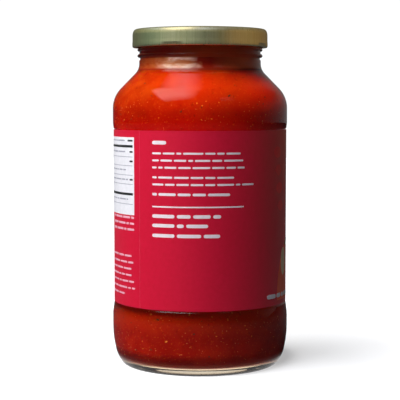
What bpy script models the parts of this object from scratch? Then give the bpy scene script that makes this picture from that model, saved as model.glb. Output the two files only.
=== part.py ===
"""Glass jar of tomato sauce with a gold twist-off lid and a wrap-around paper label.

The jar stands on its base ring at z = 0, with its axis on Z. The printed back of the
label faces -Y, with its seam 42 degrees to the left. All sizes are in metres.
"""

import math

import bmesh
import bpy

MM = 0.001

# Radii of the glass, from the base up
PUNT_RADIUS = 32.5 * MM
BASE_RING_RADIUS = 37.8 * MM
HEEL_RADIUS = 41.15 * MM
FOOT_RADIUS = 43.2 * MM
PANEL_RADIUS = 42.0 * MM
SHOULDER_RADIUS = 42.85 * MM
NECK_RADIUS = 29.85 * MM
GROOVE_RADIUS = 29.2 * MM
FINISH_RADIUS = 29.7 * MM
BEAD_RADIUS = 30.7 * MM
NECK_BORE_RADIUS = 27.3 * MM
WALL = 3.0 * MM

# Heights of the glass, from the base up
PUNT_RISE = 2.4 * MM
FLOOR_HEIGHT = 5.2 * MM
FLOOR_CROWN = 1.0 * MM
HEEL_HEIGHT = 5.0 * MM
FOOT_BOTTOM = 13.8 * MM
FOOT_TOP = 26.0 * MM
SHOULDER_BOTTOM = 119.2 * MM
SHOULDER_TOP = 132.0 * MM
NECK_BOTTOM = 145.3 * MM
NECK_TOP = 149.4 * MM
GROOVE_HEIGHT = 150.6 * MM
LOWER_BEAD_HEIGHT = 151.9 * MM
UPPER_BEAD_HEIGHT = 154.85 * MM
BEAD_HALF_HEIGHT = 0.9 * MM
BEAD_PARTS = 4
RIM_HEIGHT = 163.85 * MM
RIM_DEPTH = 1.4 * MM

# Sizes of the sauce and the label
FILL_HEIGHT = 143.8 * MM
CONTACT_GAP = 0.3 * MM
LABEL_BOTTOM = 31.8 * MM
LABEL_TOP = 116.0 * MM
LABEL_RADIUS = 42.5 * MM
LABEL_THICKNESS = 0.22 * MM
LABEL_STEP = 0.12 * MM
LABEL_MARGIN = 0.3 * MM
SEAM_WIDTH = math.radians(0.2)
SEAM_ANGLE = math.radians(-42.2)
SEAM_OVERLAP = math.radians(8.0)
SEAM_RAMP = math.radians(6.0)

# Sizes of the lid
LID_RADIUS = 33.2 * MM
LID_BOTTOM = 155.9 * MM
LID_TOP = 164.8 * MM
LID_WALL = 0.55 * MM
LID_PANEL_DROP = 0.9 * MM
LID_PANEL_RADIUS = 25.4 * MM
LID_PANEL_SLOPE = 1.3 * MM
STEP_SHIFT = 0.2 * MM
BUTTON_RADIUS = 9.0 * MM
BUTTON_RISE = 0.45 * MM
BUTTON_SLOPE = 2.0 * MM
LUG_COUNT = 4
LUG_ANGLE = math.radians(-24.0)
LUG_HALF_WIDTH = math.radians(10.0)
LUG_RAMP = math.radians(5.0)
LUG_REACH = 1.5 * MM
LUG_DENT = 0.9 * MM
LUG_LIFT = 0.5 * MM
CURL_HEIGHT = 1.6 * MM
CURL_DEPTH = 1.45 * MM
CURL_SIDE_SHARE = 0.4
CURL_GAP = 0.3 * MM

# Smoothness of the faceted solids
GLASS_SEGMENTS = 48
LID_SEGMENTS = 60
LABEL_SEGMENTS = 60
ARC_STEP = math.radians(19.0)
INNER_ARC_STEP = math.radians(25.0)
BEAD_ARC_STEP = math.radians(50.0)
LID_ARC_STEP = math.radians(32.0)
WELD = 1e-6


def clear_scene():
    for obj in list(bpy.data.objects):
        bpy.data.objects.remove(obj)


def material(name, colour, roughness, metallic=0.0, transmission=0.0):
    made = bpy.data.materials.new(name)
    made.use_nodes = True
    shader = made.node_tree.nodes["Principled BSDF"]
    shader.inputs["Base Color"].default_value = (*colour, 1.0)
    shader.inputs["Roughness"].default_value = roughness
    shader.inputs["Metallic"].default_value = metallic
    shader.inputs["Transmission Weight"].default_value = transmission
    made.diffuse_color = (*colour, 1.0)
    return made


def rounded(corners, step=ARC_STEP):
    """The outline through corners (radius, height, fillet), with each fillet as an arc."""
    points = [corners[0][:2]]
    for before, corner, after in zip(corners, corners[1:], corners[2:]):
        r, z, fillet = corner
        inward = math.atan2(z - before[1], r - before[0])
        outward = math.atan2(after[1] - z, after[0] - r)
        turn = math.remainder(outward - inward, math.tau)
        if fillet == 0.0 or abs(turn) < 1e-6:
            points.append((r, z))
            continue
        reach = fillet * math.tan(abs(turn) / 2)
        start_r = r - reach * math.cos(inward)
        start_z = z - reach * math.sin(inward)
        side = math.copysign(math.pi / 2, turn)
        centre_r = start_r + fillet * math.cos(inward + side)
        centre_z = start_z + fillet * math.sin(inward + side)
        parts = max(1, math.ceil(abs(turn) / step))
        for i in range(parts + 1):
            angle = inward - side + turn * i / parts
            points.append(
                (centre_r + fillet * math.cos(angle), centre_z + fillet * math.sin(angle))
            )
    points.append(corners[-1][:2])
    return points


def offset(points, distance):
    """The outline moved to its left by distance, its ends kept on the axis."""
    moved = []
    for i, (r, z) in enumerate(points):
        r0, z0 = points[max(i - 1, 0)]
        r1, z1 = points[min(i + 1, len(points) - 1)]
        length = math.hypot(r1 - r0, z1 - z0)
        new_r = r - distance * (z1 - z0) / length
        new_z = z + distance * (r1 - r0) / length
        moved.append((0.0 if r == 0.0 else new_r, new_z))
    return moved


def cut_at(points, height):
    """The part of a rising outline that lies below height, closed by a level line."""
    below = []
    for (r0, z0), (r1, z1) in zip(points, points[1:]):
        below.append((r0, z0))
        if z1 > height:
            share = (height - z0) / (z1 - z0)
            below.append((r0 + share * (r1 - r0), height))
            break
    return below + [(0.0, height)]


def finish_mesh(bm, name, made_of):
    """The mesh of bm as a new object, smooth except at its sharp edges."""
    bmesh.ops.remove_doubles(bm, verts=bm.verts, dist=WELD)
    bmesh.ops.recalc_face_normals(bm, faces=bm.faces)
    mesh = bpy.data.meshes.new(name)
    bm.to_mesh(mesh)
    bm.free()
    mesh.materials.append(made_of)
    mesh.shade_smooth()
    mesh.set_sharp_from_angle(angle=math.radians(35.0))
    obj = bpy.data.objects.new(name, mesh)
    bpy.context.scene.collection.objects.link(obj)
    return obj


def spun(points, segments):
    """A bmesh of the outline turned once about Z, its first and last point on the axis."""
    bm = bmesh.new()
    verts = [bm.verts.new((r, 0.0, z)) for r, z in points]
    edges = [bm.edges.new(pair) for pair in zip(verts, verts[1:])]
    bmesh.ops.spin(
        bm,
        geom=verts + edges,
        cent=(0.0, 0.0, 0.0),
        axis=(0.0, 0.0, 1.0),
        angle=math.tau,
        steps=segments,
        use_merge=True,
    )
    return bm


def bead(height):
    """The outline of one half-round ring round the finish, from below upwards."""
    points = []
    for i in range(BEAD_PARTS + 1):
        angle = math.pi * (i / BEAD_PARTS - 0.5)
        r = FINISH_RADIUS + (BEAD_RADIUS - FINISH_RADIUS) * math.cos(angle)
        points.append((r, height + BEAD_HALF_HEIGHT * math.sin(angle)))
    return points


def glass_outside():
    """The outline of the glass from the middle of its base up to the upper bead."""
    base_and_body = [
        (0.0, PUNT_RISE, 0.0),
        (PUNT_RADIUS - 4.0 * MM, PUNT_RISE - 0.5 * MM, 4.0 * MM),
        (PUNT_RADIUS, 0.0, 1.5 * MM),
        (BASE_RING_RADIUS, 0.0, 4.5 * MM),
        (HEEL_RADIUS, HEEL_HEIGHT, 16.0 * MM),
        (FOOT_RADIUS, FOOT_BOTTOM, 50.0 * MM),
        (FOOT_RADIUS, FOOT_TOP, 16.0 * MM),
        (LABEL_RADIUS, LABEL_BOTTOM - 3 * LABEL_MARGIN, 0.6 * MM),
        (PANEL_RADIUS, LABEL_BOTTOM - LABEL_MARGIN, 0.0),
        (PANEL_RADIUS, LABEL_TOP + LABEL_MARGIN, 0.0),
        (LABEL_RADIUS, LABEL_TOP + 2 * LABEL_MARGIN, 0.6 * MM),
        (SHOULDER_RADIUS, SHOULDER_BOTTOM, 6.0 * MM),
        (SHOULDER_RADIUS, SHOULDER_TOP, 14.0 * MM),
        (NECK_RADIUS, NECK_BOTTOM, 6.8 * MM),
        (NECK_RADIUS, NECK_TOP, 0.0),
        (GROOVE_RADIUS, GROOVE_HEIGHT, 0.0),
    ]
    return rounded(base_and_body) + bead(LOWER_BEAD_HEIGHT) + bead(UPPER_BEAD_HEIGHT)


def cavity():
    """The outline of the inside of the glass from the middle of its floor up to the rim."""
    inner = SHOULDER_RADIUS - WALL
    return rounded(
        [
            (0.0, FLOOR_HEIGHT + FLOOR_CROWN, 0.0),
            (inner, FLOOR_HEIGHT, 8.5 * MM),
            (inner, SHOULDER_TOP - 0.6 * MM, 11.0 * MM),
            (NECK_BORE_RADIUS, NECK_BOTTOM - 0.7 * MM, 10.4 * MM),
            (NECK_BORE_RADIUS, RIM_HEIGHT - RIM_DEPTH, 0.0),
        ],
        INNER_ARC_STEP,
    )


def make_jar():
    glass = material("clear_glass", (0.86, 0.9, 0.87), 0.03, transmission=1.0)
    rim = rounded(
        [
            (FINISH_RADIUS, RIM_HEIGHT - RIM_DEPTH, 0.0),
            (FINISH_RADIUS, RIM_HEIGHT, 1.1 * MM),
            (NECK_BORE_RADIUS, RIM_HEIGHT, 0.8 * MM),
            (NECK_BORE_RADIUS, RIM_HEIGHT - RIM_DEPTH, 0.0),
        ],
        BEAD_ARC_STEP,
    )
    points = glass_outside() + rim[1:-1] + cavity()[::-1]
    finish_mesh(spun(points, GLASS_SEGMENTS), "glass_jar", glass)


def make_sauce():
    red = material("tomato_sauce", (0.46, 0.03, 0.004), 0.35)
    points = cut_at(offset(cavity(), CONTACT_GAP), FILL_HEIGHT)
    finish_mesh(spun(points, GLASS_SEGMENTS), "tomato_sauce", red)


def lug_share(angle):
    """How far the curl is pressed in at an angle: 1 on a lug, 0 between the lugs."""
    pitch = math.tau / LUG_COUNT
    away = abs(math.remainder(angle - LUG_ANGLE, pitch))
    return min(1.0, max(0.0, (LUG_HALF_WIDTH - away) / LUG_RAMP))


def press_lugs(bm):
    """Presses the curl of the lid inwards at each lug."""
    curl_top = LID_BOTTOM + CURL_HEIGHT
    for vert in bm.verts:
        if vert.co.z > curl_top + WELD:
            continue
        radius = math.hypot(vert.co.x, vert.co.y)
        share = lug_share(math.atan2(vert.co.x, -vert.co.y))
        inside = (LID_RADIUS - radius) / CURL_DEPTH
        lowness = min(1.0, (curl_top - vert.co.z) / (CURL_SIDE_SHARE * CURL_HEIGHT))
        push = LUG_DENT * lowness + (LUG_REACH - LUG_DENT) * inside
        factor = (radius - share * push) / radius
        vert.co.x *= factor
        vert.co.y *= factor
        vert.co.z += share * LUG_LIFT * lowness


def make_lid():
    gold = material("gold_lacquer", (0.55, 0.45, 0.24), 0.32, metallic=1.0)
    panel = LID_TOP - LID_PANEL_DROP
    inner = LID_RADIUS - LID_WALL
    curl_top = LID_BOTTOM + CURL_HEIGHT
    outside = [
        (0.0, panel + BUTTON_RISE, 0.0),
        (BUTTON_RADIUS, panel + BUTTON_RISE, 0.0),
        (BUTTON_RADIUS + BUTTON_SLOPE, panel, 0.0),
        (LID_PANEL_RADIUS, panel, 0.8 * MM),
        (LID_PANEL_RADIUS + LID_PANEL_SLOPE, LID_TOP, 0.6 * MM),
        (LID_RADIUS, LID_TOP, 1.9 * MM),
        (LID_RADIUS, curl_top, 0.0),
        (LID_RADIUS, LID_BOTTOM, 0.5 * MM),
        (LID_RADIUS - CURL_DEPTH, LID_BOTTOM, 0.5 * MM),
        (LID_RADIUS - CURL_DEPTH, curl_top, 0.5 * MM),
        (inner, curl_top + CURL_GAP, 0.0),
    ]
    inside = [
        (inner, curl_top + CURL_GAP, 0.0),
        (inner, LID_TOP - LID_WALL, 1.35 * MM),
        (LID_PANEL_RADIUS + LID_PANEL_SLOPE - STEP_SHIFT, LID_TOP - LID_WALL, 0.0),
        (LID_PANEL_RADIUS - STEP_SHIFT, panel - LID_WALL, 0.0),
        (BUTTON_RADIUS + BUTTON_SLOPE, panel - LID_WALL, 0.0),
        (BUTTON_RADIUS, panel - LID_WALL + BUTTON_RISE, 0.0),
        (0.0, panel - LID_WALL + BUTTON_RISE, 0.0),
    ]
    points = rounded(outside, LID_ARC_STEP) + rounded(inside, BEAD_ARC_STEP)[1:]
    bm = spun(points, LID_SEGMENTS)
    bmesh.ops.remove_doubles(bm, verts=bm.verts, dist=WELD)
    press_lugs(bm)
    finish_mesh(bm, "screw_lid", gold)


def label_radius(angle):
    """The outer radius of the label: a step at the seam, where its end laps over its start."""
    past = (angle - SEAM_ANGLE) % math.tau
    lap = min(1.0, max(0.0, (SEAM_OVERLAP + SEAM_RAMP - past) / SEAM_RAMP))
    return LABEL_RADIUS + LABEL_STEP * lap


def make_label():
    paper = material("printed_paper", (0.48, 0.01, 0.04), 0.55)
    angles = [SEAM_ANGLE - SEAM_WIDTH, SEAM_ANGLE]
    pitch = math.tau / LABEL_SEGMENTS
    angles += [SEAM_ANGLE + i * pitch for i in range(1, LABEL_SEGMENTS)]
    bm = bmesh.new()
    rings = []
    for angle in angles:
        outer = label_radius(angle)
        inner = LABEL_RADIUS - LABEL_THICKNESS
        section = (
            (inner, LABEL_BOTTOM),
            (outer, LABEL_BOTTOM),
            (outer, LABEL_TOP),
            (inner, LABEL_TOP),
        )
        rings.append(
            [bm.verts.new((r * math.sin(angle), -r * math.cos(angle), z)) for r, z in section]
        )
    for ring, following in zip(rings, rings[1:] + rings[:1]):
        for i in range(len(ring)):
            j = (i + 1) % len(ring)
            bm.faces.new((ring[i], ring[j], following[j], following[i]))
    finish_mesh(bm, "paper_label", paper)


clear_scene()
make_jar()
make_sauce()
make_lid()
make_label()
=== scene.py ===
"""The looks of a tall glass jar of tomato sauce with a gold lid and a crimson paper label.

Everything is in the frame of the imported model: metres, the jar's axis on Z, its foot at
z = 0, and the printed back of the label facing -Y. Azimuths are in degrees, from 0 at -Y
to 90 at +X.
"""

import math
import random

import bmesh
import bpy
from mathutils import Matrix, Quaternion, Vector, noise


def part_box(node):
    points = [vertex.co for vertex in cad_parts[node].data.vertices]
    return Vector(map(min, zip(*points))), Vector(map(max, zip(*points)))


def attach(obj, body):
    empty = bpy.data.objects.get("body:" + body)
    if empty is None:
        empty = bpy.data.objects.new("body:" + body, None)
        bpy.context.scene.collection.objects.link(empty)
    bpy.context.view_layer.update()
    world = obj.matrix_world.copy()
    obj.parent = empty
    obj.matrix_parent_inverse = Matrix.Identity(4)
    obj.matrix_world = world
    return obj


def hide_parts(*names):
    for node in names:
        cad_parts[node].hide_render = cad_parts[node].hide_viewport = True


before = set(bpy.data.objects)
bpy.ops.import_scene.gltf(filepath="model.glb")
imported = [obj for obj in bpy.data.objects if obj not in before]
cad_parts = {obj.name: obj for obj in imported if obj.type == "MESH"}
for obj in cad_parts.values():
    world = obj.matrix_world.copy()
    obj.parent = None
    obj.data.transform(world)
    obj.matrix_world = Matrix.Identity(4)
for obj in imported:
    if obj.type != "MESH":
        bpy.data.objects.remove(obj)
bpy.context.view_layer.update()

MM = 0.001

# Outline of the glass, as in the solids that it replaces
LABEL_LOW, LABEL_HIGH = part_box("paper_label")
LABEL_BOTTOM = LABEL_LOW.z
LABEL_TOP = LABEL_HIGH.z
LABEL_RADIUS = 42.5 * MM
LABEL_MARGIN = 0.3 * MM
PUNT_RADIUS = 32.5 * MM
PUNT_RISE = 1.7 * MM
BASE_RING_RADIUS = 37.8 * MM
HEEL_RADIUS = 41.15 * MM
HEEL_HEIGHT = 5.0 * MM
FOOT_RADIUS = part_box("glass_jar")[1].x - 0.02 * MM
FOOT_BOTTOM = 13.8 * MM
FOOT_TOP = 26.0 * MM
PANEL_RADIUS = 42.0 * MM
SHOULDER_RADIUS = 42.85 * MM
SHOULDER_BOTTOM = 119.2 * MM
SHOULDER_TOP = 132.0 * MM
NECK_RADIUS = 29.85 * MM
NECK_BOTTOM = 145.3 * MM
NECK_TOP = 149.4 * MM
GROOVE_RADIUS = 29.2 * MM
GROOVE_HEIGHT = 150.6 * MM
FINISH_RADIUS = 29.7 * MM
BEAD_RADIUS = 30.7 * MM
BEAD_HEIGHTS = (151.9 * MM, 154.85 * MM)
RIM_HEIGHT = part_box("glass_jar")[1].z
RIM_DEPTH = 1.4 * MM
WALL = 3.0 * MM
NECK_BORE_RADIUS = 27.3 * MM
FLOOR_HEIGHT = 3.7 * MM
FLOOR_CROWN = 0.8 * MM

# Sauce, the film on the neck, how far both reach into the glass, and how far bits stand out
FILL_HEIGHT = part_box("tomato_sauce")[1].z
SURFACE_DIP = 0.5 * MM
SURFACE_WAVE = 0.35 * MM
UNDERSIDE_FADE = (5.6 * MM, 6.4 * MM)
INTO_WALL = 0.08 * MM
FILM_TOP = 158.0 * MM
FILM_THICKNESS = 0.3 * MM
BIT_SHOWS = 0.06 * MM

# Label
LABEL_THICKNESS = 0.22 * MM
LABEL_STEP = 0.12 * MM
SEAM_AZIMUTH = -42.2
SEAM_GAP = 0.2
SEAM_OVERLAP = 8.0
SEAM_RAMP = 6.0
INK = 0.02 * MM

# Lid
LID_LOW, LID_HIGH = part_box("screw_lid")
LID_RADIUS = LID_HIGH.x
LID_BOTTOM = LID_LOW.z
LID_TOP = LID_HIGH.z
LID_WALL = 0.55 * MM
LID_WAIST = 0.1 * MM
LID_CORNER_WIDTH = 1.9 * MM
LID_CORNER_HEIGHT = 3.0 * MM
LID_CORNER_PARTS = 9
LID_PANEL_DROP = 0.9 * MM
LID_PANEL_RADIUS = 25.4 * MM
LID_PANEL_SLOPE = 1.3 * MM
STEP_SHIFT = 0.2 * MM
BUTTON_RADIUS = 9.0 * MM
BUTTON_RISE = 0.45 * MM
BUTTON_SLOPE = 2.0 * MM
LUG_COUNT = 4
LUG_AZIMUTH = -24.0
LUG_HALF_WIDTH = 10.0
LUG_RAMP = 5.0
LUG_REACH = 1.5 * MM
LUG_DENT = 0.3 * MM
LUG_LIFT = 0.1 * MM
CURL_HEIGHT = 1.6 * MM
CURL_DEPTH = 1.45 * MM
CURL_SIDE_SHARE = 0.4
CURL_GAP = 0.3 * MM

# Fineness of the meshes
ROUND = 144
LID_ROUND = 180
LABEL_ROUND = 240
FILM_ROUND = 180
FILM_ROWS = 22
ARC_STEP = math.radians(5.0)
WELD = 1e-6

# Camera, at the photograph's distance, height and tilt
CAMERA_DISTANCE = 0.650
CAMERA_HEIGHT = 0.1285
CAMERA_TILT = 4.18
CAMERA_LENS = 118.44


def srgb(red, green, blue):
    """A linear colour from one in 0 to 255 as a screen shows it."""
    shares = (value / 255 for value in (red, green, blue))
    return tuple(s / 12.92 if s <= 0.04045 else ((s + 0.055) / 1.055) ** 2.4 for s in shares)


def polar(azimuth, radius, height):
    """The point at an azimuth in degrees."""
    angle = math.radians(azimuth)
    return Vector((radius * math.sin(angle), -radius * math.cos(angle), height))


# Outlines

def rounded(corners, step=ARC_STEP):
    """The outline through corners (radius, height, fillet), with each fillet as an arc."""
    points = [corners[0][:2]]
    for before, corner, after in zip(corners, corners[1:], corners[2:]):
        r, z, fillet = corner
        inward = math.atan2(z - before[1], r - before[0])
        outward = math.atan2(after[1] - z, after[0] - r)
        turn = math.remainder(outward - inward, math.tau)
        if fillet == 0.0 or abs(turn) < 1e-6:
            points.append((r, z))
            continue
        reach = fillet * math.tan(abs(turn) / 2)
        side = math.copysign(math.pi / 2, turn)
        centre_r = r - reach * math.cos(inward) + fillet * math.cos(inward + side)
        centre_z = z - reach * math.sin(inward) + fillet * math.sin(inward + side)
        parts = max(1, math.ceil(abs(turn) / step))
        for i in range(parts + 1):
            angle = inward - side + turn * i / parts
            points.append(
                (centre_r + fillet * math.cos(angle), centre_z + fillet * math.sin(angle))
            )
    points.append(corners[-1][:2])
    return points


# The section of one ring round the finish, as depth below its crest and height, in mm
BEAD_SECTION = (
    (-0.9, None),
    (-0.75, 0.45),
    (-0.5, 0.14),
    (-0.15, 0.0),
    (0.1, 0.03),
    (0.35, 0.13),
    (0.6, 0.29),
    (0.78, 0.52),
    (0.9, None),
)


def bead(height):
    """The outline of one ring round the finish, from below upwards."""
    return [
        (FINISH_RADIUS if depth is None else BEAD_RADIUS - depth * MM, height + z * MM)
        for z, depth in BEAD_SECTION
    ]


def glass_outside():
    """The outline of the glass from the middle of its base up to the upper bead."""
    base_and_body = [
        (0.0, PUNT_RISE, 0.0),
        (PUNT_RADIUS - 4.0 * MM, PUNT_RISE - 0.5 * MM, 4.0 * MM),
        (PUNT_RADIUS, 0.0, 1.5 * MM),
        (BASE_RING_RADIUS, 0.0, 4.5 * MM),
        (HEEL_RADIUS, HEEL_HEIGHT, 16.0 * MM),
        (FOOT_RADIUS, FOOT_BOTTOM, 50.0 * MM),
        (FOOT_RADIUS, FOOT_TOP, 16.0 * MM),
        (LABEL_RADIUS, LABEL_BOTTOM - 3 * LABEL_MARGIN, 0.6 * MM),
        (PANEL_RADIUS, LABEL_BOTTOM - LABEL_MARGIN, 0.0),
        (PANEL_RADIUS, LABEL_TOP + LABEL_MARGIN, 0.0),
        (LABEL_RADIUS, LABEL_TOP + 2 * LABEL_MARGIN, 0.6 * MM),
        (SHOULDER_RADIUS, SHOULDER_BOTTOM, 6.0 * MM),
        (SHOULDER_RADIUS, SHOULDER_TOP, 14.0 * MM),
        (NECK_RADIUS, NECK_BOTTOM, 6.8 * MM),
        (NECK_RADIUS, NECK_TOP, 0.4 * MM),
        (GROOVE_RADIUS, GROOVE_HEIGHT, 0.4 * MM),
        bead(BEAD_HEIGHTS[0])[0] + (0.0,),
    ]
    return rounded(base_and_body)[:-1] + bead(BEAD_HEIGHTS[0]) + bead(BEAD_HEIGHTS[1])


def cavity():
    """The outline of the inside of the glass from the middle of its floor up to the rim."""
    inner = SHOULDER_RADIUS - WALL
    return rounded(
        [
            (0.0, FLOOR_HEIGHT + FLOOR_CROWN, 0.0),
            (inner, FLOOR_HEIGHT, 7.5 * MM),
            (inner, SHOULDER_TOP - 0.6 * MM, 19.0 * MM),
            (NECK_BORE_RADIUS, NECK_BOTTOM - 0.7 * MM, 10.4 * MM),
            (NECK_BORE_RADIUS, RIM_HEIGHT - RIM_DEPTH, 0.0),
        ]
    )


def offset(points, distance):
    """The outline moved to its left by distance, its ends kept on the axis."""
    moved = []
    for i, (r, z) in enumerate(points):
        r0, z0 = points[max(i - 1, 0)]
        r1, z1 = points[min(i + 1, len(points) - 1)]
        length = math.hypot(r1 - r0, z1 - z0)
        new_r = r - distance * (z1 - z0) / length
        moved.append((0.0 if r == 0.0 else new_r, z + distance * (r1 - r0) / length))
    return moved


def on_outline(points, height):
    """Radius at a height of a rising outline, and the share of its outward normal along r and z."""
    for (r0, z0), (r1, z1) in zip(points, points[1:]):
        if z0 <= height <= z1 and r0 > NECK_BORE_RADIUS * 0.9:
            share = (height - z0) / (z1 - z0) if z1 > z0 else 0.0
            length = math.hypot(r1 - r0, z1 - z0)
            return r0 + share * (r1 - r0), (z1 - z0) / length, (r0 - r1) / length
    return points[-1][0], 1.0, 0.0


# Meshes

def finish_mesh(bm, name, made_of, smooth_below=35.0):
    """The mesh of bm as a new object, smooth except at edges sharper than an angle."""
    bmesh.ops.remove_doubles(bm, verts=bm.verts, dist=WELD)
    bmesh.ops.recalc_face_normals(bm, faces=bm.faces)
    mesh = bpy.data.meshes.new(name)
    bm.to_mesh(mesh)
    bm.free()
    mesh.materials.append(made_of)
    mesh.shade_smooth()
    mesh.set_sharp_from_angle(angle=math.radians(smooth_below))
    obj = bpy.data.objects.new(name, mesh)
    bpy.context.scene.collection.objects.link(obj)
    return obj


def spun(points, segments):
    """A bmesh of the outline turned once about Z."""
    bm = bmesh.new()
    verts = [bm.verts.new((r, 0.0, z)) for r, z in points]
    edges = [bm.edges.new(pair) for pair in zip(verts, verts[1:])]
    bmesh.ops.spin(
        bm,
        geom=verts + edges,
        cent=(0.0, 0.0, 0.0),
        axis=(0.0, 0.0, 1.0),
        angle=math.tau,
        steps=segments,
        use_merge=True,
    )
    return bm


def closed_ring(bm, rings):
    """Joins closed loops of points, one after another and the last to the first."""
    for ring, following in zip(rings, rings[1:] + rings[:1]):
        for i in range(len(ring)):
            j = (i + 1) % len(ring)
            bm.faces.new((ring[i], ring[j], following[j], following[i]))


# Materials

class Nodes:
    """Short ways to add and join the nodes of one tree."""

    def __init__(self, tree):
        self.tree = tree

    def node(self, kind, **settings):
        made = self.tree.nodes.new(kind)
        for key, value in settings.items():
            setattr(made, key, value)
        return made

    def link(self, source, target):
        self.tree.links.new(source, target)

    def feed(self, source, target):
        """Links a socket, or sets a number."""
        if isinstance(source, float):
            target.default_value = source
        else:
            self.link(source, target)

    def ramp(self, factor, *stops):
        made = self.node("ShaderNodeValToRGB")
        elements = made.color_ramp.elements
        while len(elements) < len(stops):
            elements.new(0.5)
        for element, (position, colour) in zip(elements, stops):
            element.position = position
            element.color = (*colour, 1.0)
        self.link(factor, made.inputs[0])
        return made.outputs[0]

    def mix(self, factor, first, second):
        """A colour mix. Each of first and second is a socket or a colour."""
        made = self.node("ShaderNodeMix", data_type="RGBA")
        self.feed(factor, made.inputs[0])
        for socket, value in ((made.inputs[6], first), (made.inputs[7], second)):
            if isinstance(value, tuple):
                socket.default_value = (*value, 1.0)
            else:
                self.link(value, socket)
        return made.outputs[2]

    def either(self, factor, first, second):
        """The first shader where the factor is 0, and the second where it is 1."""
        made = self.node("ShaderNodeMixShader")
        for socket, source in zip(made.inputs, (factor, first, second)):
            self.link(source, socket)
        return made.outputs[0]

    def span(self, value, low, high, to_low=0.0, to_high=1.0):
        """A value between low and high, turned into one between to_low and to_high."""
        made = self.node("ShaderNodeMapRange")
        made.inputs["From Min"].default_value = low
        made.inputs["From Max"].default_value = high
        made.inputs["To Min"].default_value = to_low
        made.inputs["To Max"].default_value = to_high
        self.link(value, made.inputs["Value"])
        return made.outputs["Result"]

    def product(self, *sources):
        total = sources[0]
        for source in sources[1:]:
            times = self.node("ShaderNodeMath", operation="MULTIPLY")
            self.link(total, times.inputs[0])
            self.link(source, times.inputs[1])
            total = times.outputs[0]
        return total

    def summed(self, *terms):
        """The sum of sources, each times its own share."""
        total = 0.0
        for source, share in terms:
            part = self.node("ShaderNodeMath", operation="MULTIPLY_ADD")
            for socket, value in zip(part.inputs, (source, share, total)):
                self.feed(value, socket)
            total = part.outputs[0]
        return total


class Look(Nodes):
    """A node material with one Principled shader, and short ways to feed it."""

    def __init__(self, name, roughness, **settings):
        self.material = bpy.data.materials.new(name)
        self.material.use_nodes = True
        super().__init__(self.material.node_tree)
        self.shader = self.tree.nodes["Principled BSDF"]
        self.output = self.tree.nodes["Material Output"]
        self.set("Roughness", roughness)
        for socket, value in settings.items():
            self.set(socket.replace("_", " "), value)
        self.place = self.node("ShaderNodeTexCoord").outputs["Object"]

    def set(self, socket, value):
        self.shader.inputs[socket].default_value = value

    def stretched(self, scale):
        mapping = self.node("ShaderNodeMapping")
        mapping.inputs["Scale"].default_value = scale
        self.link(self.place, mapping.inputs["Vector"])
        return mapping.outputs["Vector"]

    def noise(self, scale, detail=3.0, distortion=0.0, stretch=(1.0, 1.0, 1.0)):
        made = self.node("ShaderNodeTexNoise")
        made.inputs["Scale"].default_value = scale
        made.inputs["Detail"].default_value = detail
        made.inputs["Distortion"].default_value = distortion
        self.link(self.stretched(stretch), made.inputs["Vector"])
        return made.outputs[0]

    def axis(self, which):
        made = self.node("ShaderNodeSeparateXYZ")
        self.link(self.place, made.inputs[0])
        return made.outputs[which]

    def colour(self, source):
        self.link(source, self.shader.inputs["Base Color"])

    def rough(self, source):
        self.link(source, self.shader.inputs["Roughness"])

    def bump(self, height, strength, distance):
        made = self.node("ShaderNodeBump")
        self.feed(strength, made.inputs["Strength"])
        made.inputs["Distance"].default_value = distance
        self.link(height, made.inputs["Height"])
        self.link(made.outputs["Normal"], self.shader.inputs["Normal"])

    def finish(self, shader):
        """Takes another shader than the Principled one for the surface."""
        self.link(shader, self.output.inputs["Surface"])


def glass_look():
    """Clear glass that lets the lamp's light straight through to what it holds."""
    look = Look("clear_jar_glass", 0.0, Transmission_Weight=1.0, IOR=1.5)
    tint = look.noise(60.0, 2.0)
    look.colour(look.ramp(tint, (0.3, (0.93, 0.97, 0.94)), (0.7, (0.97, 0.99, 0.96))))
    look.bump(look.noise(85.0, 1.5), 0.12, 0.4 * MM)
    clear = look.node("ShaderNodeBsdfTransparent")
    clear.inputs["Color"].default_value = (0.97, 0.98, 0.97, 1.0)
    path = look.node("ShaderNodeLightPath")
    unbent = look.node("ShaderNodeMath", operation="MAXIMUM")
    look.link(path.outputs["Is Shadow Ray"], unbent.inputs[0])
    look.link(path.outputs["Is Diffuse Ray"], unbent.inputs[1])
    look.finish(look.either(unbent.outputs[0], look.shader.outputs[0], clear.outputs[0]))
    return look.material


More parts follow.
